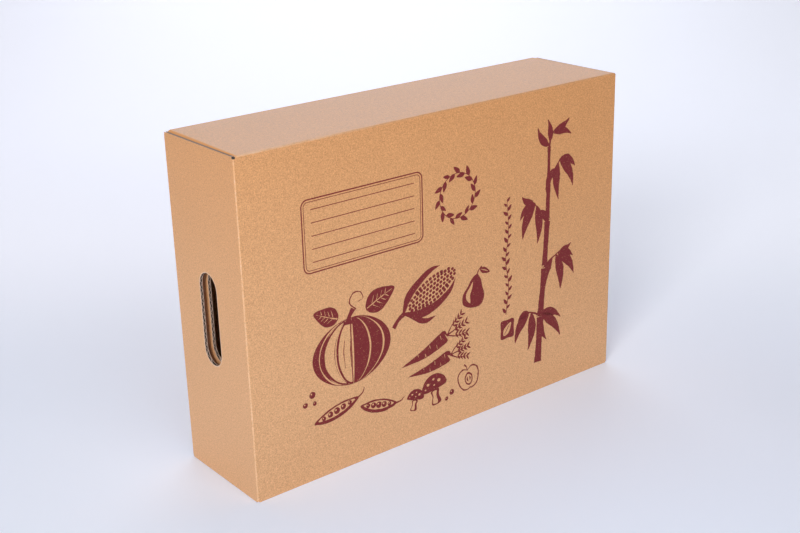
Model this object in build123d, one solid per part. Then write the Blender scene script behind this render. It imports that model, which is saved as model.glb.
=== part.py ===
"""Telescope box of corrugated board: a lid that slides over a base, each folded from one sheet.

The box stands on its long narrow side, with the lid's main panel to the front (-Y).
Lengths are millimetres. The origin is the middle of the face that it stands on.
"""
import os

from build123d import *

# The lid, outside
lid_width = 450.0
lid_height = 320.0
lid_depth = 114.0

# The board, B flute: a waved paper glued between two liners
board = 2.8
liner = 0.35
flute_paper = 0.3
flute_pitch = 6.4
flute_crest = 0.5
edge_recess = 1.4
crease_radius = 1.5

# The corner tabs, which continue the long walls and are glued behind the end panels
tab_length = 75.0
tab_taper = 6.0
tab_corner_radius = 5.0
tab_start = 3.4

# The fold between a long wall and its tabs, which is tight at the main panel and rounder at the rim
fold_radius_at_panel = 1.2
fold_radius_at_rim = 4.4
fold_sides = 16

# The end panels stop short of the long walls' outside
inset_at_foot = 0.2
inset_at_top = 0.8

# The notch where three creases meet
notch_reach = 2.0
notch_depth = 1.4

# The base inside the lid
side_clearance = 2.6
resting_clearance = 0.3
top_clearance = 2.3
rim_clearance = 0.5
base_proud = 1.0

# The hand slots, cut in both end panels of the lid and in line with those of the base
slot_width = 28.5
slot_length = 88.0
slot_from_front = 58.5
slot_level = 159.0

# Sizes that follow from those above
front_face = -(lid_depth + base_proud) / 2
back_face = (lid_depth + base_proud) / 2
base_width = lid_width - 2 * (2 * board + side_clearance)
base_floor = board + resting_clearance
base_height = lid_height - 2 * board - resting_clearance - top_clearance
base_depth = lid_depth + base_proud - board - rim_clearance


def panel_with_walls(span, reach):
    """Section of a panel along X, with a wall folded up towards +Y at each side."""
    outside = Rectangle(span, reach, align=(Align.CENTER, Align.MIN))
    inside = Pos(0, board) * Rectangle(span - 2 * board, reach, align=(Align.CENTER, Align.MIN))
    return outside - inside


def end_panels(width, height, depth):
    """Main panel with both end panels, which stop short of the long walls' outside."""
    section = panel_with_walls(width, depth)
    section = fillet(section.vertices().group_by(Axis.Y)[0], crease_radius)
    return Pos(0, 0, inset_at_foot) * extrude(section, height - inset_at_foot - inset_at_top)


def outer_folds(span, depth):
    """Cutter that rounds both folds between a long wall and its tabs in narrow facets, wider towards the rim."""
    ends = {-board: fold_radius_at_panel, depth + board: fold_radius_at_rim}
    profiles = []
    for y, radius in ends.items():
        square = Rectangle(radius + board, radius + board, align=(Align.MIN, Align.MAX))
        fold = RegularPolygon(radius, fold_sides, major_radius=False, rotation=180 / fold_sides)
        corner = Pos(span / 2 - radius, radius) * (square - fold)
        profiles.append(Plane.XZ.offset(-y) * corner.face())
    right = loft(profiles, ruled=True)
    return [right, mirror(right, Plane.YZ)]


def long_wall(width, depth):
    """Bottom long wall with its crease to the main panel and a tapered tab folded up at each end."""
    span = width - 2 * board
    folded = extrude(Plane.XZ.offset(-depth) * panel_with_walls(span, tab_length), depth)
    folded = folded - outer_folds(span, depth)
    side = Polyline(
        (0, 0),
        (depth, 0),
        (depth, board),
        (depth - tab_taper, tab_length),
        (tab_start + tab_taper, tab_length),
        (tab_start, board),
        (0, board),
        close=True,
    )
    outline = make_face(side)
    outline = fillet(outline.vertices().sort_by_distance((0, 0))[0], crease_radius)
    outline = fillet(outline.vertices().group_by(Axis.Y)[-1], tab_corner_radius)
    return folded & extrude(Plane.YZ * outline, width, both=True)


def flutes(width, height, depth):
    """Cutter for the channels beside the waved paper in both end panels, open at the panels' rims.

    The wave has straight flanks. Every second channel lies against the outer liner, the rest against the inner.
    """
    core = board - 2 * liner
    half_width = (flute_pitch - flute_crest) / 2
    channel = Polyline(
        (0, flute_paper - core / 2),
        (half_width, core / 2),
        (-half_width, core / 2),
        close=True,
    )
    section = make_face(channel)
    reach = height / 2 - inset_at_top - edge_recess - liner - half_width
    count = int(reach / (flute_pitch / 2))
    middle = (width - board) / 2
    start = board + crease_radius
    channels = []
    for step in range(-count, count + 1):
        level = height / 2 + step * flute_pitch / 2
        for side in (-1, 1):
            turn = -90 * side if step % 2 else 90 * side
            placed = Plane.XZ.offset(-depth) * Pos(side * middle, level) * Rot(0, 0, turn) * section
            channels.append(extrude(placed, depth - start))
    return channels


def edge_recesses(width, height, depth):
    """Cutter for the hollow between the liners along the edges that are cut in line with the flutes."""
    core = board - 2 * liner
    span = width - 4 * board - 2 * crease_radius
    rim = Box(span, 2 * edge_recess, core)
    rims = [Pos(0, depth, z) * rim for z in (board / 2, height - board / 2)]
    length = depth - board - crease_radius
    edge = Box(core, length, 2 * edge_recess, align=(Align.CENTER, Align.MAX, Align.CENTER))
    levels = (inset_at_foot, height - inset_at_top)
    middle = (width - board) / 2
    edges = [Pos(x, depth, z) * edge for x in (-middle, middle) for z in levels]
    return rims + edges


def hand_slots(width, from_panel, level):
    """Cutter for the round-ended slots, right through both end panels."""
    slot = Pos(from_panel, level) * SlotOverall(slot_length, slot_width, rotation=90)
    return extrude(Plane.YZ * slot, width, both=True)


def corner_notches(width, height):
    """Cutter for the small open notch at each corner of the main panel."""
    notch = Box(2 * notch_reach, 2 * notch_reach, 2 * notch_depth)
    return [Pos(x, 0, z) * notch for x in (-width / 2, width / 2) for z in (0, height)]


def folded_sheet(width, height, depth, slot_from_panel, slot_height):
    """One folded sheet: main panel on Y = 0, walls towards +Y, standing on a long wall at Z = 0."""
    bottom_wall = long_wall(width, depth)
    top_wall = mirror(bottom_wall, Plane.XY.offset(height / 2))
    sheet = end_panels(width, height, depth) + bottom_wall + top_wall
    sheet = sheet - (flutes(width, height, depth) + edge_recesses(width, height, depth))
    sheet = sheet - hand_slots(width, slot_from_panel, slot_height)
    return sheet - corner_notches(width, height)


def make_lid():
    """The outer sheet, open towards +Y."""
    return Pos(0, front_face, 0) * folded_sheet(lid_width, lid_height, lid_depth, slot_from_front, slot_level)


def make_base():
    """The inner sheet, open towards -Y, with its slots in line with the lid's."""
    slot_from_back = lid_depth + base_proud - slot_from_front
    sheet = folded_sheet(base_width, base_height, base_depth, slot_from_back, slot_level - base_floor)
    return Pos(0, back_face, base_floor) * Rot(0, 0, 180) * sheet


def main():
    os.makedirs("parts", exist_ok=True)
    for name, make in {"lid": make_lid, "base": make_base}.items():
        shape = make()
        shape.label = name
        export_step(shape, f"parts/{name}.step")
        print(name, "solids", len(shape.solids()), "volume", round(shape.volume))


main()
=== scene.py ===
"""Corrugated board lid and base box with a printed panel, dressed for a plain studio picture.

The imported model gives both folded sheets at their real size. This script gives them their paper,
prints the lid's main panel, frays the cut edges and sets the floor, the lamps and the camera.
Outlines of the print are in millimetres from the panel's lower left corner. The distances that a
paper's pattern works out are in millimetres too, and all else is in metres.
"""
import math

import bmesh
import bpy
import numpy as np
from bpy.props import FloatProperty, FloatVectorProperty, IntProperty, PointerProperty
from mathutils import Euler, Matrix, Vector
from mathutils.geometry import tessellate_polygon


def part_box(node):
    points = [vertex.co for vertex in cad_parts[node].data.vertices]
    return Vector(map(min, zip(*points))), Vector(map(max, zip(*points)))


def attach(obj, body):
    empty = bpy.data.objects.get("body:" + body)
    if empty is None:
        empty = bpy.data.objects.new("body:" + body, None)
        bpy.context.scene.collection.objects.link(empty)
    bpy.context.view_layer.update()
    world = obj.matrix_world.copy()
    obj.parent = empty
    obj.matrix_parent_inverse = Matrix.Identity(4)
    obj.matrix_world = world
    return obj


bl_info = {
    "name": "Lid and base box",
    "version": (1, 0, 0),
    "blender": (4, 5, 0),
    "location": "View3D > Sidebar > Box",
    "description": "Dresses a telescope box of corrugated board and its studio",
    "category": "Object",
}

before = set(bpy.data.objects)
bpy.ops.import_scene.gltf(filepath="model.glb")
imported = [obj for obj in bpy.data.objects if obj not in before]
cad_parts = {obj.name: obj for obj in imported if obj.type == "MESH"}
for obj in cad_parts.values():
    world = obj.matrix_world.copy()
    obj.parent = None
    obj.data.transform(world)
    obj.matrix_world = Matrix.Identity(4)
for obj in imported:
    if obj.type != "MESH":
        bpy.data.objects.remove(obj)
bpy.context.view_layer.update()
LID_LOW, LID_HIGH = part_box("lid")
MM = 0.001

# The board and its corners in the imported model, in millimetres
BOARD = 2.8
NOTCH_REACH, NOTCH_DEPTH = 2.0, 1.4
FOLD_AT_PANEL, FOLD_AT_RIM = 1.2, 4.4

# How far the print's repeated motifs reach into the paper, and how many heights its plates take
ROW_SUNK = 0.00002
INK_STEPS = 200

# Where the cob of maize lies in the print, for its husks and its kernels
COB_CENTRE, COB_TURN = (200, 148), 24


class Sheet:
    """Where one folded sheet's creases, rims and raw edges lie, in millimetres."""

    def __init__(self, low, high, panel_side):
        self.half_width = (high.x - low.x) / 2 / MM
        self.bottom = low.z / MM
        self.top = high.z / MM
        self.depth = (high.y - low.y) / MM
        self.panel = (low.y if panel_side < 0 else high.y) / MM
        self.inward = -panel_side


LID_SHEET = Sheet(LID_LOW, LID_HIGH, -1)
BASE_SHEET = Sheet(*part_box("base"), 1)


# Settings that a user would change

def colour_setting(name, description, default):
    """A colour, from black to the brightest."""
    return FloatVectorProperty(
        name=name, description=description, subtype="COLOR", default=default, min=0, max=1)


def length_setting(name, description, default):
    """A length in metres."""
    return FloatProperty(name=name, description=description, default=default, unit="LENGTH")


def angle_setting(name, description, degrees):
    """An angle, whose default is given in degrees."""
    return FloatProperty(
        name=name, description=description, default=math.radians(degrees), subtype="ANGLE")


class BoardSettings(bpy.types.PropertyGroup):
    kraft: colour_setting("Kraft", "Colour of the brown liner", (0.680, 0.350, 0.155))
    raw_edge: colour_setting(
        "Raw edge", "Colour of the paper where the board is cut", (0.720, 0.520, 0.420))
    # Hollow is painted shade: a near-black colour laid in the flutes, in the gaps along the cut edges
    # and in the corner notches.
    hollow: colour_setting(
        "Hollow", "Colour deep inside the flutes and the corner notches", (0.030, 0.018, 0.012))
    # The tab fold colour is partly the liner stretched over the fold and partly painted shade, a deeper
    # orange where the round shows no sheen.
    fold: colour_setting(
        "Tab fold", "Colour of the liner stretched over the tabs' folds", (0.760, 0.325, 0.085))
    worn: colour_setting("Worn crease", "Colour of the paper along the creases", (0.860, 0.610, 0.430))
    flute_pitch: length_setting("Flute pitch", "Distance from one flute to the next", 0.0064)
    slot_length: length_setting("Slot length", "Length of each hand slot", 0.088)
    slot_width: length_setting("Slot width", "Width of each hand slot", 0.0285)
    slot_from_front: length_setting(
        "Slot from front", "From the printed panel's face to the slot's middle", 0.0585)
    slot_level: length_setting("Slot level", "Height of the slot's middle", 0.159)


class PrintSettings(bpy.types.PropertyGroup):
    ink: colour_setting("Ink", "Colour of the one printing ink", (0.175, 0.014, 0.016))
    thickness: length_setting("Ink height", "How far the ink stands on the paper", 0.00004)
    leaf_count: IntProperty(
        name="Wreath leaves", description="Leaves round the wreath", default=22, min=3)
    line_count: IntProperty(
        name="Ruled lines", description="Blank lines in the label", default=5, min=2)


class EdgeSettings(bpy.types.PropertyGroup):
    fibre_length: length_setting("Fibre length", "Length of a paper fibre at a cut edge", 0.0005)
    fibre_width: length_setting("Fibre width", "Thickness of a paper fibre", 0.00005)
    spacing: length_setting("Spacing", "Distance between fibres along a cut edge", 0.0006)
    seed: IntProperty(name="Seed", description="Start of the random draws", default=7)


class StageSettings(bpy.types.PropertyGroup):
    azimuth: angle_setting("Azimuth", "Turn of the view about the vertical, from +Y towards -X", -37.94)
    elevation: angle_setting("Elevation", "How far the view looks down", 20.57)
    roll: angle_setting("Roll", "Turn of the camera about its view", -1.56)
    camera_place: FloatVectorProperty(
        name="Camera", description="Where the camera stands", subtype="TRANSLATION",
        default=(-0.7342, -0.9256, 0.5962))
    lens: FloatProperty(name="Lens", description="Focal length in millimetres", default=57.72)
    floor: colour_setting(
        "Backdrop", "Colour of the backdrop and the far floor", (0.835, 0.843, 0.925))
    floor_near: colour_setting("Floor", "Colour of the floor round the box", (0.875, 0.915, 1.0))


# Shader maths

def maths_method(operation, reflected=False):
    """An operator of Value that adds one Math node, with its values swapped if it is reflected."""
    def method(self, other):
        values = (other, self) if reflected else (self, other)
        return self.nodes.maths(operation, *values)
    return method


class Value:
    """A number that changes over a surface: one socket, with Python's own operators."""

    def __init__(self, nodes, socket):
        self.nodes = nodes
        self.socket = socket

    def __abs__(self):
        return self.nodes.maths("ABSOLUTE", self)

    __add__ = maths_method("ADD")
    __radd__ = maths_method("ADD", reflected=True)
    __sub__ = maths_method("SUBTRACT")
    __rsub__ = maths_method("SUBTRACT", reflected=True)
    __mul__ = maths_method("MULTIPLY")
    __rmul__ = maths_method("MULTIPLY", reflected=True)
    __truediv__ = maths_method("DIVIDE")
    __pow__ = maths_method("POWER")
    __gt__ = maths_method("GREATER_THAN")
    __lt__ = maths_method("LESS_THAN")


class Nodes:
    """A node tree under construction."""

    def __init__(self, tree):
        self.tree = tree

    def node(self, kind, settings=None, sockets=None):
        """A node of one type, with its settings set first and then its sockets' values or links.

        A socket whose value is None is left as it is.
        """
        made = self.tree.nodes.new(kind)
        for name, value in (settings or {}).items():
            setattr(made, name, value)
        for name, value in (sockets or {}).items():
            if value is not None:
                self.feed(made.inputs[name], value)
        return made

    def feed(self, socket, value):
        """Links a socket, where a node stands for its first output, or sets its value."""
        if isinstance(value, bpy.types.Node):
            value = value.outputs[0]
        value = getattr(value, "socket", value)
        if isinstance(value, bpy.types.NodeSocket):
            self.tree.links.new(value, socket)
        elif socket.type == "RGBA" and len(value) == 3:
            socket.default_value = (*value, 1.0)
        else:
            socket.default_value = value

    def maths(self, operation, *values):
        """A Math node."""
        made = self.node("ShaderNodeMath", {"operation": operation}, dict(enumerate(values)))
        return Value(self, made.outputs[0])

    def ramp(self, value, start, end):
        """0 at start and 1 at end, smooth between them. Start may be the larger of the two."""
        low, high = (0.0, 1.0) if start < end else (1.0, 0.0)
        made = self.node(
            "ShaderNodeMapRange", {"interpolation_type": "SMOOTHSTEP"},
            {"Value": value, "From Min": min(start, end), "From Max": max(start, end),
             "To Min": low, "To Max": high})
        return Value(self, made.outputs["Result"])

    def mix(self, factor, first, second, blend="MIX"):
        """Mixes two colours."""
        made = self.node("ShaderNodeMix", {"data_type": "RGBA", "blend_type": blend},
                         {0: factor, 6: first, 7: second})
        return made.outputs[2]


class Paint(Nodes):
    """One material under construction, on Object coordinates, with x, y and z in millimetres."""

    def __init__(self, name):
        self.material = bpy.data.materials.new(name)
        self.material.use_nodes = True
        super().__init__(self.material.node_tree)
        self.tree.nodes.clear()
        self.place = self.node("ShaderNodeTexCoord").outputs["Object"]
        scaled = self.node(
            "ShaderNodeVectorMath", {"operation": "SCALE"}, {0: self.place, "Scale": 1 / MM})
        parts = self.node("ShaderNodeSeparateXYZ", {}, {0: scaled})
        self.x, self.y, self.z = (Value(self, socket) for socket in parts.outputs)

    def greater(self, first, second):
        return self.maths("MAXIMUM", first, second)

    def lesser(self, first, second):
        return self.maths("MINIMUM", first, second)

    def between(self, value, low, high):
        """1 where value lies between two limits, else 0."""
        return (value > low) * (value < high)

    def noise(self, scale, detail, roughness=0.55, stretch=(1, 1, 1), turn=(0, 0, 0), shift=0.0):
        """Fractal noise with features of about 1 / scale metres, which may be stretched and turned."""
        mapped = self.node(
            "ShaderNodeMapping", {"vector_type": "POINT"},
            {"Vector": self.place, "Location": (shift,) * 3, "Rotation": turn, "Scale": stretch})
        made = self.node(
            "ShaderNodeTexNoise", {"noise_dimensions": "3D"},
            {"Vector": mapped, "Scale": scale, "Detail": detail, "Roughness": roughness})
        return Value(self, made.outputs["Fac"])

    def bump(self, height, distance, under=None):
        """A Bump node on a height from 0 to 1, which stands for a distance in metres."""
        sockets = {"Height": height, "Distance": distance, "Strength": 1.0, "Normal": under}
        return self.node("ShaderNodeBump", {}, sockets)

    def finish(self, colour, roughness, normal=None, glow=None, **fixed):
        """Ends the material in one Principled shader. Fixed sockets keep one value all over."""
        sockets = {
            "Base Color": colour, "Roughness": roughness, "Normal": normal, "Emission Color": glow}
        sockets |= {name.replace("_", " "): value for name, value in fixed.items()}
        shader = self.node("ShaderNodeBsdfPrincipled", {}, sockets)
        self.node("ShaderNodeOutputMaterial", {}, {"Surface": shader})
        return self.material


class SheetPaint(Paint):
    """A folded sheet's material, which knows how far in a point lies from the sheet's outer faces."""

    def __init__(self, name, sheet):
        super().__init__(name)
        self.sheet = sheet
        self.from_panel = (self.y - sheet.panel) * sheet.inward
        self.from_end = sheet.half_width - abs(self.x)
        self.from_top = sheet.top - self.z
        self.from_foot = self.z - sheet.bottom
        self.from_wall = self.lesser(self.from_top, self.from_foot)


# Paper

def paper_fibres(paint):
    """The liner's fine patterns, which are fibres in three directions and mottling."""
    first, second, third = (
        paint.noise(300, detail=2, stretch=stretch, turn=turn) for stretch, turn in (
            ((1, 5, 5), (0, 0.5, 0.3)),
            ((5, 5, 1), (0.4, -0.3, 0)),
            ((5, 1, 5), (0.7, 0, -0.5)),
        ))
    return (first + second + third) / 3, paint.noise(680, detail=2, roughness=0.5)


def kraft_colour(paint, kraft, fibres, mottle):
    """The liner's colour: soft clouds, mottling, fibres, dark and pale flecks, and painted light that
    drifts across the sheet.
    """
    clouds = paint.noise(8, detail=2)
    pulp = paint.noise(1400, detail=1, shift=3.1)
    tone = 1.0
    for pattern, amount in ((mottle, 0.58), (fibres, 0.62), (pulp, 0.72), (clouds, 0.08)):
        tone = tone + (pattern - 0.5) * amount
    shade = paint.node("ShaderNodeCombineColor", {}, {0: tone, 1: tone ** 1.2, 2: tone ** 1.6})
    # Painted light: paler and bluer towards the foot, as if lit by the floor, and a deeper orange
    # towards the upper right, where less light falls.
    foot_in_painted_bounce, top_in_painted_shade = kraft * (1.02, 1.07, 1.13), kraft * (0.93, 0.83, 0.65)
    body = paint.mix(paint.ramp(paint.z + paint.x * 0.3, 0, 380), foot_in_painted_bounce, top_in_painted_shade)
    body = paint.mix(1.0, body, shade, "MULTIPLY")
    flecks = paint.ramp(paint.noise(620, detail=1, shift=9.7), 0.69, 0.76)
    body = paint.mix(flecks * 0.40, body, kraft * 0.42)
    pale = paint.ramp(paint.noise(450, detail=1, stretch=(1, 3, 1), shift=5.3), 0.69, 0.78)
    return paint.mix(pale * 0.22, body, np.minimum(1, kraft * 1.35 + 0.02))


def crease_wear(paint):
    """How worn the paper is along the main panel's creases, from 0 to 1."""
    ragged = paint.noise(330, detail=3, shift=1.9)
    patchy = paint.ramp(paint.noise(60, detail=2, shift=4.4), 0.38, 0.62) * 0.45 + 0.55

    def worn(distance, wander, start, end):
        return paint.ramp(paint.greater(distance, paint.from_panel) + ragged * wander, start, end)

    upright = worn(paint.from_end, 1.8, 2.1, 1.0) * (paint.ramp(paint.x, 30, -30) * 0.46 + 0.06)
    level = worn(paint.from_top, 1.6, 2.6, 1.5) * (paint.ramp(paint.x, -30, -215) * 0.60 + 0.08)
    foot = worn(paint.from_foot, 1.6, 1.9, 1.1) * 0.12
    return paint.greater(paint.greater(upright, level), foot) * patchy


def slot_distance(paint, board):
    """Distance to the hand slot's outline in the end panels, in millimetres."""
    radius = board.slot_width / 2 / MM
    straight = board.slot_length / 2 / MM - radius
    across = paint.y - (LID_SHEET.panel + board.slot_from_front / MM)
    along = paint.greater(abs(paint.z - board.slot_level / MM) - straight, 0.0)
    return (across * across + along * along) ** 0.5 - radius


def raw_board(paint):
    """1 where the surface lies inside the board's thickness, as on cut edges and in the flutes."""
    skin, rim_depth, tab_start = 0.06, 1.6, BOARD + 0.5
    end_panel = paint.between(paint.from_end, skin, BOARD - skin)
    end_panel = end_panel * (paint.from_panel > BOARD + skin)
    rim = paint.between(paint.from_wall, skin, BOARD - skin)
    rim = rim * (paint.from_panel > paint.sheet.depth - rim_depth)
    tab = paint.between(paint.from_end, BOARD + skin, 2 * BOARD - skin)
    tab = tab * (paint.from_wall > tab_start) * (paint.from_panel > tab_start)
    return paint.greater(paint.greater(end_panel, rim), tab)


def painted_flute_shade(paint, from_slot):
    """Painted shade inside a flute: how far a point lies in it, from 0 at its open end to 1 where no
    light reaches.
    """
    liner, from_fold, from_crease = 0.25, BOARD + 0.8, BOARD + 0.2
    inside = paint.between(paint.from_end, liner, BOARD - liner)
    inside = inside * (paint.from_wall > from_fold) * (paint.from_panel > from_crease)
    from_opening = paint.lesser(from_slot, paint.sheet.depth - paint.from_panel)
    return paint.ramp(from_opening, 0.05, 0.6) * inside


def tab_folds(paint):
    """1 on the rounded folds between the long walls and their tabs, which widen towards the rim, where
    a tint is laid that is partly the stretched liner and partly painted shade.
    """
    radius = FOLD_AT_PANEL + paint.from_panel * ((FOLD_AT_RIM - FOLD_AT_PANEL) / paint.sheet.depth)
    ragged = (paint.noise(260, detail=2, shift=6.6) - 0.5) * 2.2
    inside = radius - paint.greater(paint.from_end - BOARD, paint.from_wall) + ragged
    return (paint.from_end > BOARD + 0.02) * paint.ramp(inside, -0.5, 0.5)


def painted_edge_gap_shade(paint):
    """Painted shade: 1 in the hollow between the liners along the left end panel's cut edges, which
    gape a little.
    """
    hollow = paint.between(paint.from_end, 0.3, BOARD + 0.05) * (paint.from_wall < BOARD - 0.2)
    return hollow * (paint.from_panel > NOTCH_REACH) * (paint.x < 0)


def notches(paint):
    """Painted shade: 1 in the small open notches at the main panel's upper corners, of which the left
    one is torn.
    """
    across = paint.greater(paint.from_end, paint.from_panel) - NOTCH_REACH
    down = paint.from_top - NOTCH_DEPTH - (paint.x < 0)
    return paint.greater(across, down) < 0.05


def board_material(name, sheet, board):
    """Brown liner outside and in, with worn creases, paler cut edges, a lifted rim at the slot with a
    painted highlight, and painted shade in the flutes, the edge gaps, the corner notches and on the
    tabs' folds.
    """
    paint = SheetPaint(name, sheet)
    fibres, mottle = paper_fibres(paint)
    body = kraft_colour(paint, np.array(board.kraft, float), fibres, mottle)
    from_slot = slot_distance(paint, board)
    # A lifted paper rim round the slot, paler partly as real raised paper and partly as a painted
    # highlight where the cut edge catches light.
    lifted_rim_and_highlight = paint.ramp(from_slot, 1.3, 0.3) * (paint.from_end < BOARD + 0.1)
    raw = raw_board(paint)
    cut_paper = np.array(board.raw_edge, float)
    cut_colour = paint.mix(paint.noise(900, detail=2, shift=2.2), cut_paper * 0.80, cut_paper)
    for share, colour in (
        (crease_wear(paint), board.worn),
        (lifted_rim_and_highlight * 0.65, board.worn),
        (raw, cut_colour),
        (tab_folds(paint) * 0.85, board.fold),
        # Painted shade in the gaps along the cut edges, in the flutes and in the corner notches.
        (painted_edge_gap_shade(paint) * 0.44, board.hollow),
        (paint.greater(painted_flute_shade(paint, from_slot), notches(paint)), board.hollow),
    ):
        body = paint.mix(share, body, colour)
    ridges = paint.maths("SINE", paint.z * (2 * math.pi * MM / board.flute_pitch)) * 0.5 + 0.5
    waves = paint.noise(7, detail=1, shift=4.0)
    normal = None
    for height, metres in ((ridges, 0.000012), (waves, 0.0009), (fibres + mottle * 0.6, 0.00009)):
        normal = paint.bump(height, metres, under=normal)
    roughness = 0.50 + (mottle - 0.5) * 0.20 + raw * 0.30
    return paint.finish(body, roughness, normal, Specular_IOR_Level=0.55)


def ink_material(printing, board):
    """Flat printing ink that has sunk into the paper, so that fibres and pinholes show through."""
    paint = Paint("maroon_ink")
    fibres, mottle = paper_fibres(paint)
    ink, kraft = np.array(printing.ink, float), np.array(board.kraft, float)
    tone = paint.noise(260, detail=3, shift=6.0)
    body = paint.mix(tone, ink * 0.90, ink * 1.22 + 0.004)
    thin = paint.ramp(fibres + (mottle - 0.5) * 0.5, 0.56, 0.70) * 0.35
    body = paint.mix(thin, body, kraft * 0.55 + ink * 0.45)
    pinholes = paint.ramp(paint.noise(1100, detail=1, shift=8.0), 0.70, 0.76) * 0.75
    body = paint.mix(pinholes, body, kraft)
    normal = paint.bump(fibres + mottle * 0.6, 0.00008)
    return paint.finish(body, 0.60 + (mottle - 0.5) * 0.2, normal, Specular_IOR_Level=0.28)


def fibre_material(board):
    """Loose paper fibres at a cut edge."""
    paint = Paint("paper_fibre")
    tone = paint.noise(900, detail=1, shift=7.0)
    colour = paint.mix(tone, np.array(board.raw_edge, float) * 0.8, board.worn)
    return paint.finish(colour, 0.75 + (tone - 0.5) * 0.1, Specular_IOR_Level=0.3)


def studio_paper(stage, ahead, aside):
    """Pale studio paper, which glows a little, most of all far from the box.

    It is painted by the metres from the box's middle, ahead along the view and to its right, with
    painted shade to the right of the box and a painted pool of light in front of it.
    """
    painted_shade_right = (0.79, 0.81, 0.88)
    glow_far, glow_near = (0.86, 0.87, 0.94), (0.0, 0.02, 0.12)
    glow_in_front, glow_of_room = (0.11, 0.20, 0.42), (1.0, 1.0, 1.0)
    paint = Paint("studio_paper")
    away = (paint.x * ahead.x + paint.y * ahead.y) * MM
    right = (paint.x * aside.x + paint.y * aside.y) * MM
    # The floor round the box takes a brighter, bluer colour than the far floor, which glows more:
    # painted light in place of how the lamps fall on the paper.
    near = paint.ramp(away, 0.60, -0.05)
    colour = paint.mix(near, stage.floor, stage.floor_near)
    # Painted shade on the floor to the right of the box.
    colour = paint.mix(paint.ramp(right, 0.1, 0.4) * 0.6, colour, painted_shade_right)
    from_front = ((away + 0.26) ** 2 + (right - 0.05) ** 2) ** 0.5
    glow = paint.mix(near, glow_far, glow_near)
    # A painted pool of light on the floor in front of the box.
    glow = paint.mix(paint.ramp(from_front, 0.44, 0.08), glow, glow_in_front)
    # The floor far in front of the box glows white, as painted light.
    glow = paint.mix(paint.ramp(away, -0.9, -2.1), glow, glow_of_room)
    return paint.finish(colour, 0.85 + near * 0.04, glow=glow, Emission_Strength=0.26)


# Outlines for the printed panel

def through(points, step=1.0, closed=False):
    """Points about one step apart along a smooth line through the given points."""
    points = np.asarray(points, float)
    count = len(points)
    line = []
    for index in range(count if closed else count - 1):
        if closed:
            a, b, c, d = (points[(index + k) % count] for k in (-1, 0, 1, 2))
        else:
            b, c = points[index], points[index + 1]
            a = points[index - 1] if index else 2 * b - c
            d = points[index + 2] if index + 2 < count else 2 * c - b
        pieces = max(2, int(np.linalg.norm(c[:2] - b[:2]) / step))
        for t in np.arange(pieces) / pieces:
            line.append(0.5 * (2 * b + (c - a) * t + (2 * a - 5 * b + 4 * c - d) * t**2
                               + (3 * b - 3 * c + d - a) * t**3))
    if not closed:
        line.append(points[-1])
    return np.array(line)


def contour(points, step=1.2):
    """A closed smooth outline through the given points."""
    return through(points, step, closed=True)


def both_sides(points):
    """Points down a shape's left side from its middle to its middle, and the same ones mirrored."""
    return [*points, *((-x, y) for x, y in points[-2:0:-1])]


def roughen(outline, amount, draw):
    """Moves the points of a closed outline in or out a little, as ink creeps along fibres."""
    ahead, behind = np.roll(outline, -1, 0), np.roll(outline, 1, 0)
    along = ahead - behind
    along /= np.maximum(np.linalg.norm(along, axis=1, keepdims=True), 1e-9)
    out = np.stack([along[:, 1], -along[:, 0]], 1)
    wander = draw.normal(0, 1, len(outline))
    wander = (np.roll(wander, 1) + 2 * wander + np.roll(wander, -1)) / 4
    return outline + out * (amount * wander)[:, None]


def stroke(points, widths):
    """Closed outline of one brush stroke through points, with the brush's width at each of them."""
    thinnest = 0.12
    line = through(np.column_stack([points, widths]))
    centre, width = line[:, :2], np.maximum(line[:, 2:], thinnest)
    along = np.gradient(centre, axis=0)
    along /= np.linalg.norm(along, axis=1, keepdims=True)
    side = np.stack([-along[:, 1], along[:, 0]], 1) * width / 2
    return np.vstack([centre + side, (centre - side)[::-1]])


def heading(angle):
    """The direction along an angle in degrees, and the one to its left."""
    along = np.array([math.cos(math.radians(angle)), math.sin(math.radians(angle))])
    return along, np.array([-along[1], along[0]])


def arm(start, angle, length, bend):
    """Three points from start along an angle in degrees, with the middle one bent aside."""
    along, left = heading(angle)
    start = np.asarray(start, float)
    return [start, start + along * length * 0.5 + left * bend, start + along * length]


def blade(start, angle, length, width, bend=0.0):
    """A long leaf in one press of the brush: a thin start, a full belly and a drawn-out tip."""
    along, left = heading(angle)
    points = [np.asarray(start, float) + along * length * t + left * bend * 4 * t * (1 - t)
              for t in (0.0, 0.16, 0.38, 0.62, 0.84, 1.0)]
    return stroke(points, [width * w for w in (0.16, 0.74, 1.0, 0.76, 0.36, 0.05)])


def oval(centre, radius, step, squash=1.0, start=0, end=360):
    """Points on a circle at every step in degrees. Squash makes it lower than it is wide."""
    angles = np.radians(np.arange(start, end, step))
    return np.stack([centre[0] + radius * np.cos(angles),
                     centre[1] + radius * squash * np.sin(angles)], 1)


def placed(outline, centre, turn=0.0, scale=1.0):
    """An outline drawn about its own origin, put in place on the panel."""
    cos, sin = math.cos(math.radians(turn)), math.sin(math.radians(turn))
    points = np.asarray(outline, float) * scale
    return np.stack([centre[0] + points[:, 0] * cos - points[:, 1] * sin,
                     centre[1] + points[:, 0] * sin + points[:, 1] * cos], 1)


def all_placed(shapes, centre, turn=0.0, scale=1.0):
    """Every outline of some shapes, put in place together."""
    return [[placed(loop, centre, turn, scale) for loop in shape] for shape in shapes]


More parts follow.
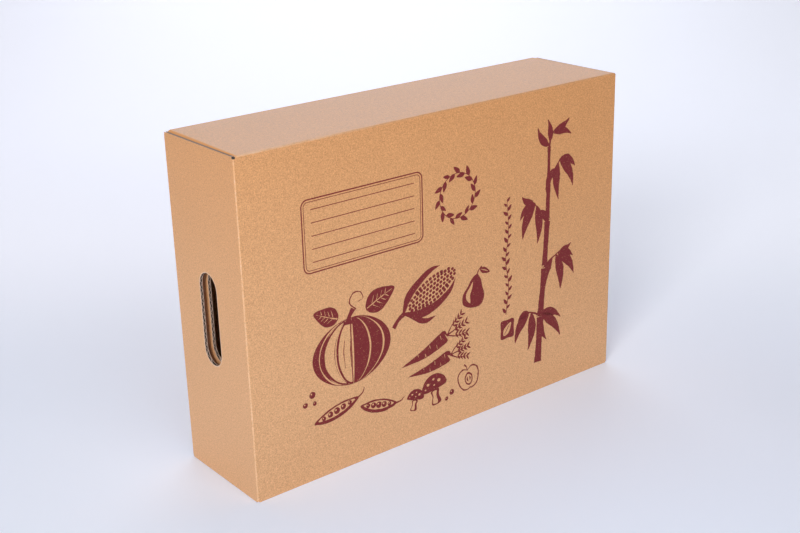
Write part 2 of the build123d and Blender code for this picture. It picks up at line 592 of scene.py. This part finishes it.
def plate(name, shapes, printing, rough=0.0, seed=0):
    """One thin closed plate of ink for each shape, and each shape is an outline with its holes.

    Each plate is a little higher than the one before, so that no two faces lie in one plane.
    """
    draw = np.random.default_rng(seed)
    sunk = printing.thickness / 2
    step_up = printing.thickness / (2 * INK_STEPS)
    vertices, faces = [], []
    for index, shape in enumerate(shapes):
        loops = [roughen(np.asarray(loop, float), rough, draw) for loop in shape]
        height = printing.thickness + step_up * (index % INK_STEPS)
        rings = [[Vector((x, z, 0)) for x, z in loop] for loop in loops]
        points = [(point.x, point.y) for ring in rings for point in ring]
        front, total = len(vertices), len(points)
        back = front + total
        for lift in (height, -sunk):
            vertices += [(LID_LOW.x + x * MM, LID_LOW.y - lift, LID_LOW.z + z * MM) for x, z in points]
        for a, b, c in tessellate_polygon(rings):
            faces.append((front + a, front + b, front + c))
            faces.append((back + c, back + b, back + a))
        first = 0
        for loop in loops:
            size = len(loop)
            for k in range(size):
                a, b = first + k, first + (k + 1) % size
                faces.append((front + a, front + b, back + b, back + a))
            first += size
    mesh = bpy.data.meshes.new(name)
    mesh.from_pydata(vertices, [], faces)
    return closed_piece(name, mesh)


def closed_piece(name, mesh):
    """Adds a closed mesh as an object, with its faces pointing outwards."""
    work = bmesh.new()
    work.from_mesh(mesh)
    bmesh.ops.recalc_face_normals(work, faces=work.faces)
    work.to_mesh(mesh)
    work.free()
    return add_object(name, mesh)


def add_object(name, data):
    """A new object in the scene, at the origin."""
    made = bpy.data.objects.new(name, data)
    bpy.context.scene.collection.objects.link(made)
    return made


def dress(piece, material):
    """Gives a piece one material."""
    piece.data.materials.clear()
    piece.data.materials.append(material)


# Motifs of the print

def bamboo():
    """A tall bamboo cane in bold brush strokes, with groups of leaves at its joints."""
    joints = [(345, 31), (348, 84), (353, 136), (356, 185), (357, 228), (357, 262)]
    widths = [10.5, 9.4, 8.2, 6.6, 4.8]
    gap = 1.5
    strokes = []
    for (x0, z0), (x1, z1), width in zip(joints, joints[1:], widths):
        low, high = np.array([x0, z0 + gap]), np.array([x1, z1 - gap])
        points = [low + (high - low) * share for share in (0, 0.06, 0.5, 0.94, 1)]
        strokes.append(stroke(points, [width * w for w in (1.16, 0.94, 0.80, 0.94, 1.12)]))
    for (x, z), width in zip(joints[1:-1], widths[1:]):
        side = width * 0.62
        ring = [(x - side, z + 0.6), (x, z - 0.3), (x + side, z + 0.6)]
        strokes.append(stroke(ring, [0.5, 1.2, 0.5]))
    twigs = [
        [(357, 260), (359, 268), (363, 275)],
        [(357, 228), (366, 236), (373, 246)],
        [(355, 185), (346, 195), (338, 207)],
        [(353, 136), (364, 143), (373, 147)],
        [(348, 84), (339, 89), (331, 92)],
    ]
    strokes += [stroke(points, [2.8, 2.0, 1.2]) for points in twigs]
    leaves = [
        ((357, 262), 128, 25, 8.5, 3), ((358, 266), 98, 22, 7.5, -2), ((362, 274), 26, 25, 8.5, -2),
        ((362, 274), -12, 26, 8.5, 3),
        ((373, 246), -30, 24, 9, 3), ((372, 245), -58, 36, 10.5, 4), ((370, 242), -88, 38, 10, -3),
        ((366, 237), -118, 26, 8, -3),
        ((338, 207), 216, 24, 9, -3), ((339, 206), 244, 38, 11, -4), ((341, 203), 272, 40, 10.5, 3),
        ((336, 209), 152, 17, 7.5, 3), ((345, 197), 302, 24, 8, 3),
        ((373, 147), -22, 22, 9, 2), ((372, 146), -50, 36, 11, 4), ((369, 145), -80, 40, 11, 3),
        ((374, 148), 18, 17, 7.5, -2), ((364, 143), -108, 28, 8.5, -3),
        ((331, 92), 206, 16, 8, -2), ((332, 91), 236, 34, 11, -4), ((335, 90), 264, 40, 11, 3),
        ((349, 86), 338, 30, 9, 4), ((349, 85), 312, 42, 11, 4), ((348, 83), 288, 30, 8.5, -3),
    ]
    strokes += [blade(*leaf) for leaf in leaves]
    return [[outline] for outline in strokes]


def pumpkin(centre, radii):
    """A ribbed pumpkin: the ribs away from the light are solid, and those towards it are drawn open."""
    edges = (-1.0, -0.78, -0.42, 0.02, 0.46, 0.80, 1.0)
    gap = 0.022
    angles = np.linspace(-math.pi / 2 + 0.10, math.pi / 2 - 0.10, 26)
    bulge = 1 + 0.05 * np.cos(angles * 2)

    def rib_side(share):
        return np.stack([share * radii[0] * np.cos(angles) * bulge, radii[1] * np.sin(angles)], 1)

    shapes = []
    for index, (a, b) in enumerate(zip(edges, edges[1:])):
        outline = np.vstack([rib_side(a + gap), rib_side(b - gap)[::-1]]) + centre
        if index < 3:
            middle = outline.mean(0)
            hole = middle + (outline - middle) * (0.80 if index else 0.62, 0.93)
            shapes.append([outline, hole])
        else:
            shapes.append([outline])
    x, z = centre
    top = z + radii[1] * 0.93
    shapes.append([stroke([(x - 3, top - 4), (x - 2, top + 3), (x + 3, top + 10)], [9, 4.5, 5.5])])
    for k in range(5):
        lean = -0.36 + 0.16 * k
        shapes.append([stroke(
            [(x + lean * radii[0] * 0.9, z + radii[1] * (0.48 - 0.05 * k)),
             (x + lean * radii[0] * 1.12, z),
             (x + lean * radii[0] * 0.95, z - radii[1] * (0.42 + 0.04 * k))], [0.3, 0.9, 0.3])])
    return shapes


def pear(centre, turn, scale):
    """A pear with an open side towards the light."""
    body = contour(both_sides([(0, -17), (-12, -14), (-15, -4), (-10, 6), (-6, 14), (0, 19)]))
    light = contour([(-3, -12), (-9, -8), (-10.5, -2), (-7, 5), (-4, 11), (-3.5, 4), (-5, -3)])
    stem = stroke([(0, 18.5), (1.5, 23), (5, 27)], [1.6, 1.3, 2.0])
    leaf = [leaf_outline(15, 7), leaf_vein(15)]
    tip = placed([(3, 24)], centre, turn, scale)[0]
    fruit = all_placed([[body, light], [stem]], centre, turn, scale)
    return fruit + all_placed([leaf], tip, turn - 12, scale)


def apple(centre, turn, scale):
    """An apple cut in half, with its core and two pips."""
    rim = contour(both_sides(
        [(0, 12), (-7, 15), (-15, 10), (-16, 0), (-11, -11), (-3, -14), (0, -12.5)]))
    flesh = placed(rim, (0, 0), 0, 0.90)
    core = contour(both_sides([(0, 8), (-5.5, 3), (-5, -5), (0, -9)]), 0.9)
    inside = placed(core, (0, -0.4), 0, 0.74)
    stem = stroke([(0, 10), (-0.5, 15), (-3, 20)], [1.0, 1.4, 1.9])
    pips = [[stroke([(side * 1.6, 2.6), (side * 2.2, -0.6), (side * 1.2, -3.4)], [0.3, 2.0, 0.3])]
            for side in (-1, 1)]
    return all_placed([[rim, flesh], [core, inside], [stem], *pips], centre, turn, scale)


def carrot(start, angle, length, width):
    """A carrot with a few rings across it and a tuft of leaves behind its crown."""
    crown, middle, tip = arm(start, angle, length, length * 0.04)
    along, across = heading(angle)
    body = stroke([crown, crown + along * 2.5, middle, tip], [width * 0.5, width, width * 0.7, 0.5])
    rings = []
    for k, share in enumerate((0.12, 0.24, 0.37, 0.50, 0.64)):
        at = crown + along * length * share + across * length * 0.04 * math.sin(share * math.pi)
        reach = across * width * 0.40 * (1 - share * 0.55) * (1 if k % 2 else -1)
        rings.append(stroke([at + reach, at + reach * 0.1], [0.75, 0.3]))
    shapes = [[body, *rings]]
    root = crown - along * 0.8
    for k in (-1, 0, 1):
        fan = angle + 180 + k * 26
        path = arm(root, fan, length * 0.42, 2.0 * k)
        shapes.append([stroke(path, [1.5, 1.1, 0.5])])
        for share in (0.45, 0.62, 0.80, 1.0):
            at = root + (path[2] - root) * share
            shapes += [[blade(at, fan + lean, length * 0.11, 2.2)] for lean in (-42, 42)]
    return shapes


def pea_pod(centre, turn, length):
    """An open pea pod with its row of peas."""
    half = length / 2

    def rim(end, middle, heights):
        return contour(list(zip((-end, -middle, 0, middle, end, middle, 0, -middle), heights)))

    shell = rim(half, half * 0.5, (0, -6.4, -7.8, -6.4, 0, 4.6, 5.8, 4.6))
    mouth = rim(half * 0.82, half * 0.4, (0.3, -3.4, -4.4, -3.4, 0.3, 3.2, 4.2, 3.2))
    shapes = [[shell, mouth]]
    for k, radius in enumerate((2.3, 3.0, 3.3, 3.0, 2.3)):
        at = ((k - 2) * half * 0.29, 0)
        light = (at[0] - radius * 0.28, radius * 0.28)
        shapes.append([oval(at, radius, 18), oval(light, radius * 0.30, 40)])
    shapes.append([stroke([(half - 1, 0), (half + 5, 2), (half + 8, 6)], [1.8, 1.3, 0.5])])
    return all_placed(shapes, centre, turn)


def leaf_outline(length, width, edge=((0.28, 0.46), (0.62, 0.40)), step=0.9):
    """A leaf that points along its own X, with shares of its length and width along one edge."""
    upper = [(length * x, width * y) for x, y in edge]
    lower = [(x, -y) for x, y in reversed(upper)]
    return contour([(0, 0), *upper, (length, 0), *lower], step)


def leaf_vein(length):
    """The open line down the middle of a leaf."""
    return stroke([(length * 0.10, 0), (length * 0.5, 0.2), (length * 0.84, 0)], [0.5, 0.8, 0.2])


def broad_leaf(base, turn, length, width):
    """A broad leaf with a midrib and side ribs left open."""
    outline = leaf_outline(length, width, ((0.16, 0.40), (0.42, 0.52), (0.72, 0.34)), 1.2)
    holes = [stroke([(length * 0.04, 0), (length * 0.5, 0.3), (length * 0.90, 0)], [0.9, 0.9, 0.2])]
    for k in range(4):
        at = length * (0.20 + 0.15 * k)
        reach = width * (0.36 - 0.05 * k)
        holes += [stroke([(at + 0.9, side * 0.95), (at + reach * 0.8, side * reach)], [0.7, 0.2])
                  for side in (-1, 1)]
    return all_placed([[outline, *holes]], base, turn)


def cob_husks(centre, turn):
    """The husk leaves folded back from a cob of maize."""
    husks = (
        ([(-32, 0), (-18, -12), (2, -17), (22, -15), (34, -8)], [3, 9, 8, 5, 0.4]),
        ([(-32, 1), (-20, 12), (-4, 17), (12, 19), (24, 16)], [3, 8, 7, 5, 0.4]),
        ([(-31, 0), (-40, -1), (-48, -5)], [5.5, 4.2, 4.8]),
        ([(-30, -3), (-16, -22), (-2, -27)], [2, 5.5, 0.4]),
    )
    return all_placed([[stroke(*husk)] for husk in husks], centre, turn)


def mushroom(centre, turn, scale):
    """A mushroom: a solid cap with open dots and an open stem."""
    cap = contour([(-17, 0), (-14, 9), (-6, 15), (5, 15), (14, 9), (17, 0), (9, -2.5), (-9, -2.5)])
    dots = [oval(at, size, 30, squash=0.8) for at, size in
            (((-8, 6.5), 1.9), ((0, 10), 1.5), ((7, 6), 2.2), ((0, 3), 1.2), ((-12, 2), 1.0))]
    stem = contour(
        [(-5.5, -3.4), (-4.5, -10), (-6.5, -19), (0, -21), (6.5, -19), (4.5, -10), (5.5, -3.4)])
    hollow = contour(
        [(-3.4, -4.4), (-3, -10), (-4.8, -17.5), (0, -19.4), (2, -17.5), (1, -10), (2, -4.4)])
    return all_placed([[cap, *dots], [stem, hollow]], centre, turn, scale)


def harvest():
    """Fruit and vegetables in a loose row across the lower part of the panel."""
    tendril = stroke([(116, 155), (109, 163), (113, 171), (121, 171), (124, 164), (118, 162)],
                     [1.4, 1.3, 1.2, 1.0, 0.8, 0.4])
    shapes = [
        *pumpkin((110, 116), (43, 33)),
        *broad_leaf((127, 152), 22, 36, 22),
        *broad_leaf((96, 151), 156, 29, 18),
        [tendril],
        *cob_husks(COB_CENTRE, COB_TURN),
        *carrot((222, 98), 197, 58, 14),
        *carrot((226, 76), 188, 52, 12.5),
        *pear((258, 134), -12, 0.95),
        *apple((250, 44), 10, 0.86),
        *pea_pod((90, 62), 13, 52),
        *pea_pod((138, 52), -13, 44),
        *mushroom((206, 48), 8, 0.92),
        *mushroom((182, 44), -14, 0.62),
    ]
    for x, z, radius in ((64, 86, 3.4), (56, 78, 2.6), (66, 77, 2.2), (228, 36, 3.0), (221, 31, 2.2)):
        light = (x - radius * 0.3, z + radius * 0.3)
        shapes.append([oval((x, z), radius, 15), oval(light, radius * 0.28, 40)])
    return shapes


def stamp():
    """A small solid block with an open leaf."""
    block = contour([(-8.5, -9.5), (-8.8, 0), (-8.5, 9.5), (0, 9.8), (8.5, 9.5), (8.8, 0), (8.5, -9.5),
                     (0, -9.8)], 1.0)
    leaf, vein = (placed(loop, (-4.9, -6.4), 52) for loop in (leaf_outline(16, 8.0), leaf_vein(16)))
    return all_placed([[block, leaf], [vein]], (302, 82))


def label_frame():
    """A blank label: a double frame with round corners, thick outside and thin inside."""
    left, low, right, high, radius = 62, 201, 196, 269, 7

    def inset(by):
        return rounded((left + by, low + by), (right - by, high - by), radius - by)

    return [[inset(gap), inset(gap + width)] for gap, width in ((0.0, 1.2), (2.6, 0.6))]


def rounded(low, high, radius):
    """Outline of a rectangle with round corners."""
    corners = [(high[0] - radius, high[1] - radius), (low[0] + radius, high[1] - radius),
               (low[0] + radius, low[1] + radius), (high[0] - radius, low[1] + radius)]
    arcs = [oval(corner, radius, 15, start=90 * k, end=90 * k + 91)
            for k, corner in enumerate(corners)]
    return np.vstack(arcs)


# Geometry Nodes

class Tree(Nodes):
    """A Geometry Nodes tree under construction, with named inputs for its sizes."""

    def __init__(self, name, inputs):
        super().__init__(bpy.data.node_groups.new(name, "GeometryNodeTree"))
        sockets = self.tree.interface
        sockets.new_socket("Geometry", in_out="INPUT", socket_type="NodeSocketGeometry")
        sockets.new_socket("Geometry", in_out="OUTPUT", socket_type="NodeSocketGeometry")
        self.values = {}
        for label, value in inputs.items():
            kind = "NodeSocketInt" if isinstance(value, int) else "NodeSocketFloat"
            socket = sockets.new_socket(label, in_out="INPUT", socket_type=kind)
            self.values[socket.identifier] = value
        self.given = self.node("NodeGroupInput").outputs

    def points(self):
        """Points at even steps along the object's curves."""
        made = self.node("GeometryNodeCurveToPoints", {"mode": "LENGTH"},
                         {"Curve": self.given["Geometry"], "Length": self.given["Spacing"]})
        return made.outputs

    def random(self, kind, low, high, seed):
        """A random number or vector for each point."""
        made = self.node("FunctionNodeRandomValue", {"data_type": kind},
                         {"Min": low, "Max": high, "Seed": seed})
        return next(socket for socket in made.outputs if socket.enabled)

    def copies(self, points, shape, turn, size):
        """One copy of a shape on each point, turned and scaled."""
        return self.node("GeometryNodeInstanceOnPoints", {},
                         {"Points": points["Points"], "Instance": shape, "Rotation": turn,
                          "Scale": size})

    def finish(self, geometry, material):
        """Ends the tree in Realize Instances and Set Material."""
        real = self.node("GeometryNodeRealizeInstances", {}, {"Geometry": geometry})
        dressed = self.node("GeometryNodeSetMaterial", {}, {"Geometry": real, "Material": material})
        self.node("NodeGroupOutput", {}, {0: dressed})

    def apply(self, name, source):
        """Runs the tree on an object and returns the result as a plain mesh object."""
        modifier = source.modifiers.new("build", "NODES")
        modifier.node_group = self.tree
        for identifier, value in self.values.items():
            modifier[identifier] = value
        graph = bpy.context.evaluated_depsgraph_get()
        graph.update()
        mesh = bpy.data.meshes.new_from_object(source.evaluated_get(graph), depsgraph=graph)
        source.modifiers.remove(modifier)
        bpy.data.objects.remove(source)
        return closed_piece(name, mesh)


def path_object(name, lines, closed):
    """A curve object with one straight-run spline for each list of places."""
    curve = bpy.data.curves.new(name, "CURVE")
    curve.dimensions = "3D"
    for places in lines:
        spline = curve.splines.new("POLY")
        spline.points.add(len(places) - 1)
        for point, place in zip(spline.points, places):
            point.co = (*place, 1.0)
        spline.use_cyclic_u = closed
    return add_object(name, curve)


def flat(points):
    """Places in the XY plane, in metres, for points of the print."""
    return [(x * MM, y * MM, 0) for x, y in points]


def printed_row(name, lines, motif, spacing, printing, ink, seed,
                swing=0, sizes=(1.0, 1.0), closed=False):
    """Prints a motif at even steps along lines on the panel, swung to each side of them in turn."""
    shape = bpy.data.meshes.new(name + "_motif")
    shape.from_pydata(flat(motif), [], [tuple(range(len(motif)))])
    shape_object = add_object(name + "_motif", shape)
    tree = Tree(name + "_tree", {
        "Spacing": spacing * MM,
        "Swing": math.radians(swing),
        "Smallest": sizes[0],
        "Largest": sizes[1],
        "Ink height": printing.thickness * 1.6,
    })
    points = tree.points()
    odd = tree.maths("MODULO", tree.node("GeometryNodeInputIndex"), 2.0)
    turn = tree.node("ShaderNodeCombineXYZ", {}, {"Z": (1 - odd * 2) * tree.given["Swing"]})
    along = tree.node("FunctionNodeAlignRotationToVector", {"axis": "X", "pivot_axis": "Z"},
                      {"Vector": points["Tangent"]})
    swung = tree.node("FunctionNodeRotateRotation", {"rotation_space": "LOCAL"},
                      {"Rotation": along, "Rotate By": turn})
    size = tree.random("FLOAT", tree.given["Smallest"], tree.given["Largest"], seed)
    info = tree.node("GeometryNodeObjectInfo", {}, {"Object": shape_object})
    copies = tree.copies(points, info.outputs["Geometry"], swung, size)
    real = tree.node("GeometryNodeRealizeInstances", {}, {"Geometry": copies})
    up = tree.node("ShaderNodeCombineXYZ", {}, {"Z": 1.0})
    raised = tree.node("GeometryNodeExtrudeMesh", {"mode": "FACES"},
                       {"Mesh": real, "Offset": up, "Offset Scale": tree.given["Ink height"],
                        "Individual": False})
    lower = tree.node("GeometryNodeFlipFaces", {}, {"Mesh": real})
    both = tree.node("GeometryNodeJoinGeometry")
    for half in (raised, lower):
        tree.feed(both.inputs[0], half)
    weld = 0.000002
    welded = tree.node("GeometryNodeMergeByDistance", {}, {"Geometry": both, "Distance": weld})
    tree.finish(welded, ink)
    made = tree.apply(name, path_object(name + "_path", [flat(line) for line in lines], closed))
    bpy.data.objects.remove(shape_object)
    return stand_up(made)


def stand_up(piece):
    """Turns a print that was laid out flat, in the XY plane, up onto the panel's face."""
    for vertex in piece.data.vertices:
        x, y, z = vertex.co
        vertex.co = (LID_LOW.x + x, LID_LOW.y + ROW_SUNK - z, LID_LOW.z + y)
    return piece


def slot_outlines(sheet, board):
    """The cut outlines of both hand slots in one sheet, at the board's outer and at its inner face."""
    radius = board.slot_width / 2
    straight = board.slot_length / 2 - radius
    middle = Vector((0, LID_LOW.y + board.slot_from_front, board.slot_level))
    from_face = 0.15
    lines = []
    for side in (-1, 1):
        for inset in (from_face, BOARD - from_face):
            x = side * (sheet.half_width - inset) * MM
            turns = [(math.radians(a), straight if a < 180 else -straight) for a in range(0, 360, 6)]
            lines.append([
                (x, middle.y + radius * math.cos(turn), middle.z + lift + radius * math.sin(turn))
                for turn, lift in turns])
    return lines


def fibre_fringe(name, sheet, edges, board, material):
    """Short loose fibres along the cut outlines of the hand slots in one sheet."""
    tree = Tree(name + "_tree", {
        "Spacing": edges.spacing,
        "Length": edges.fibre_length,
        "Width": edges.fibre_width,
        "Seed": edges.seed,
    })
    width, seed = tree.given["Width"], tree.given["Seed"]
    any_turn, shortest, longest = (6.28, 6.28, 6.28), 0.4, 1.2
    fibre = tree.node("GeometryNodeMeshCone", {"fill_type": "NGON"},
                      {"Vertices": 4, "Side Segments": 1, "Radius Top": width,
                       "Radius Bottom": width, "Depth": tree.given["Length"]})
    turn = tree.random("FLOAT_VECTOR", (0, 0, 0), any_turn, seed)
    size = tree.random("FLOAT", shortest, longest, seed)
    tree.finish(tree.copies(tree.points(), fibre, turn, size), material)
    return tree.apply(name, path_object(name + "_path", slot_outlines(sheet, board), closed=True))


# Rows of the print

def wreath(printing, ink):
    """A ring with small leaves set to each side of it in turn."""
    centre, radius, half_line = (238, 236), 22, 0.35
    spacing = 2 * math.pi * radius / printing.leaf_count
    leaves = printed_row("printed_wreath", [oval(centre, radius, 5)], leaf_outline(9.5, 4.6), spacing,
                         printing, ink, seed=11, swing=34, sizes=(0.85, 1.15), closed=True)
    ring = [oval(centre, radius + half_line, 4), oval(centre, radius - half_line, 4)]
    return [leaves, plate("printed_wreath_ring", [ring], printing)]


def vine(printing, ink):
    """An upright stem with small leaves set to each side of it in turn."""
    line = through([(300, 100), (303.5, 128), (299.5, 156), (303, 184), (301, 216)], 2.0)
    leaves = printed_row("printed_vine", [line], leaf_outline(7.5, 3.6), 4.6, printing, ink,
                         seed=12, swing=46, sizes=(0.75, 1.1))
    stem = stroke([(300, 98), (303.5, 128), (299.5, 156), (303, 184), (301, 219)],
                  [0.9, 0.8, 0.8, 0.7, 0.4])
    return [leaves, plate("printed_vine_stem", [[stem]], printing)]


def ruled_lines(printing, ink):
    """The blank label's lines, each of which starts at a point of an upright path."""
    left, low, high, length, half_line = 72, 211, 259, 114, 0.36
    spacing = (high - low) / (printing.line_count - 1)
    line = [(-half_line, 0), (-half_line, -length), (half_line, -length), (half_line, 0)]
    return printed_row("printed_lines", [[(left, low), (left, high + 0.01)]], line, spacing,
                       printing, ink, seed=13)


def kernels(printing, ink):
    """Rows of kernels on the cob of maize, which draw together towards its ends."""
    forward, half_length, half_height, pinch = 6, 30, 13.5, 0.18
    rows = []
    for row in range(-3, 4):
        share = row / 3.6
        reach = half_length * math.sqrt(1 - share**2)
        line = [(forward + reach * a, half_height * share * (1 - pinch * a * a))
                for a in np.linspace(-1, 1, 24)]
        rows.append(placed(line, COB_CENTRE, COB_TURN))
    return printed_row("printed_kernels", rows, rounded((-1.9, -1.55), (1.9, 1.55), 1.2), 4.5,
                       printing, ink, seed=14, sizes=(0.86, 1.0))


# Operators

class BoxOperator(bpy.types.Operator):
    """Shared by the box's operators"""
    bl_options = {"REGISTER", "UNDO"}


class TELESCOPE_BOX_OT_sheets(BoxOperator):
    """Give both folded sheets their kraft paper, worn creases and raw edges"""
    bl_idname = "telescope_box.sheets"
    bl_label = "Dress sheets"

    def execute(self, context):
        for node, sheet in (("lid", LID_SHEET), ("base", BASE_SHEET)):
            material = board_material(node + "_kraft", sheet, context.scene.box_board)
            dress(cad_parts[node], material)
        return {"FINISHED"}


class TELESCOPE_BOX_OT_print(BoxOperator):
    """Print the lid's main panel in one ink"""
    bl_idname = "telescope_box.print_panel"
    bl_label = "Print panel"

    def execute(self, context):
        printing = context.scene.box_print
        ink = ink_material(printing, context.scene.box_board)
        pieces = [
            plate("printed_bamboo", bamboo(), printing, rough=0.22, seed=3),
            plate("printed_harvest", harvest(), printing, rough=0.16, seed=4),
            plate("printed_stamp", stamp(), printing, rough=0.10, seed=5),
            plate("printed_label_frame", label_frame(), printing),
            *wreath(printing, ink),
            *vine(printing, ink),
            ruled_lines(printing, ink),
            kernels(printing, ink),
        ]
        for piece in pieces:
            dress(piece, ink)
            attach(piece, "lid")
        return {"FINISHED"}


class TELESCOPE_BOX_OT_fibres(BoxOperator):
    """Fray the cut paper round the hand slots"""
    bl_idname = "telescope_box.fray_slots"
    bl_label = "Fray slots"

    def execute(self, context):
        board, edges = context.scene.box_board, context.scene.box_edges
        material = fibre_material(board)
        for body, sheet in (("lid", LID_SHEET), ("base", BASE_SHEET)):
            piece = fibre_fringe(body + "_slot_fibres", sheet, edges, board, material)
            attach(piece, body)
        return {"FINISHED"}


class TELESCOPE_BOX_OT_stage(BoxOperator):
    """Set the floor, the backdrop, the lamps and the camera"""
    bl_idname = "telescope_box.set_stage"
    bl_label = "Set stage"

    def execute(self, context):
        stage = context.scene.box_stage
        ahead = Vector((-math.sin(stage.azimuth), math.cos(stage.azimuth), 0))
        aside = Vector((ahead.y, -ahead.x, 0))
        self.backdrop(stage, ahead, aside)
        self.world(context.scene, ahead)
        self.lamps(ahead, aside)
        self.camera(context.scene, stage)
        context.scene.view_settings.view_transform = "Standard"
        return {"FINISHED"}

    def backdrop(self, stage, ahead, aside):
        """A floor that curves up into a backdrop square to the view, with no corner between them."""
        half_span, front, back, rise, curve = 9.0, -9.0, 2.4, 3.4, 1.3
        line = [(front, 0.0), (back - curve, 0.0)]
        line += [(back - curve + curve * math.sin(a), curve - curve * math.cos(a))
                 for a in np.radians(np.arange(6, 90, 6))]
        line += [(back, curve), (back, rise)]
        vertices = [ahead * away + aside * side + Vector((0, 0, z))
                    for away, z in line for side in (-half_span, half_span)]
        faces = [(2 * k, 2 * k + 1, 2 * k + 3, 2 * k + 2) for k in range(len(line) - 1)]
        mesh = bpy.data.meshes.new("studio_floor")
        mesh.from_pydata(vertices, [], faces)
        mesh.shade_smooth()
        floor = add_object("studio_floor", mesh)
        dress(floor, studio_paper(stage, ahead, aside))

    def world(self, scene, ahead):
        """Bright light from behind the box, and less from the room in front of it."""
        room, behind_box, strength = (0.24, 0.25, 0.27), (0.92, 0.94, 1.0), 0.42
        world = bpy.data.worlds.new("studio")
        scene.world = world
        world.use_nodes = True
        nodes = Nodes(world.node_tree)
        place = nodes.node("ShaderNodeTexCoord")
        facing = nodes.node("ShaderNodeVectorMath", {"operation": "DOT_PRODUCT"},
                            {0: place.outputs["Generated"], 1: ahead})
        colour = nodes.mix(nodes.ramp(facing.outputs["Value"], -0.3, 0.5), room, behind_box)
        light = world.node_tree.nodes["Background"].inputs
        nodes.feed(light["Color"], colour)
        nodes.feed(light["Strength"], strength)

    def lamps(self, ahead, aside):
        """Softboxes: a key from the left, two weak fills from the front and one behind and above."""
        target = Vector((0, 0, 0.16))
        for name, (away, side, height), size, power, colour in (
            ("key", (-3.50, -1.25, 1.90), 1.3, 106, (1.0, 0.985, 0.955)),
            ("fill", (-1.9, 1.2, 1.4), 1.6, 9, (1.0, 0.98, 0.95)),
            ("front", (-0.90, 0.30, 0.85), 0.8, 2.6, (0.86, 0.93, 1.0)),
            ("back", (1.8, -0.03, 1.0), 1.5, 11.1, (0.92, 0.95, 1.0)),
        ):
            place = ahead * away + aside * side + Vector((0, 0, height))
            lamp = bpy.data.lights.new(name, "AREA")
            lamp.shape = "SQUARE"
            lamp.size = size
            lamp.energy = power
            lamp.color = colour
            made = add_object(name, lamp)
            made.location = place
            made.rotation_euler = (target - place).to_track_quat("-Z", "Y").to_euler()
            made.visible_camera = False

    def camera(self, scene, stage):
        """A camera at the photograph's place, angle and field of view."""
        data = bpy.data.cameras.new("camera")
        data.lens = stage.lens
        data.sensor_width = 36.0
        data.sensor_fit = "HORIZONTAL"
        data.dof.use_dof = False
        made = add_object("camera", data)
        turn = Euler((math.pi / 2 - stage.elevation, 0, stage.azimuth)).to_matrix()
        made.rotation_euler = (turn @ Euler((0, 0, stage.roll)).to_matrix()).to_euler()
        made.location = stage.camera_place
        scene.camera = made


class VIEW3D_PT_telescope_box(bpy.types.Panel):
    """Lists the box's steps and settings"""
    bl_label = "Lid and base box"
    bl_space_type = "VIEW_3D"
    bl_region_type = "UI"
    bl_category = "Box"

    def draw(self, context):
        layout = self.layout
        for operator in OPERATORS:
            layout.operator(operator.bl_idname)
        for name in SETTINGS:
            settings = getattr(context.scene, name)
            column = layout.column(heading=name)
            for key in settings.__annotations__:
                column.prop(settings, key)


SETTINGS = {
    "box_board": BoardSettings,
    "box_print": PrintSettings,
    "box_edges": EdgeSettings,
    "box_stage": StageSettings,
}
OPERATORS = (
    TELESCOPE_BOX_OT_sheets,
    TELESCOPE_BOX_OT_print,
    TELESCOPE_BOX_OT_fibres,
    TELESCOPE_BOX_OT_stage,
)
CLASSES = (*SETTINGS.values(), *OPERATORS, VIEW3D_PT_telescope_box)


def register():
    for kind in CLASSES:
        bpy.utils.register_class(kind)
    for name, group in SETTINGS.items():
        setattr(bpy.types.Scene, name, PointerProperty(type=group))


def unregister():
    for name in SETTINGS:
        delattr(bpy.types.Scene, name)
    for kind in reversed(CLASSES):
        bpy.utils.unregister_class(kind)


def main():
    register()
    bpy.ops.telescope_box.sheets()
    bpy.ops.telescope_box.print_panel()
    bpy.ops.telescope_box.fray_slots()
    bpy.ops.telescope_box.set_stage()


if __name__ == "__main__":
    main()
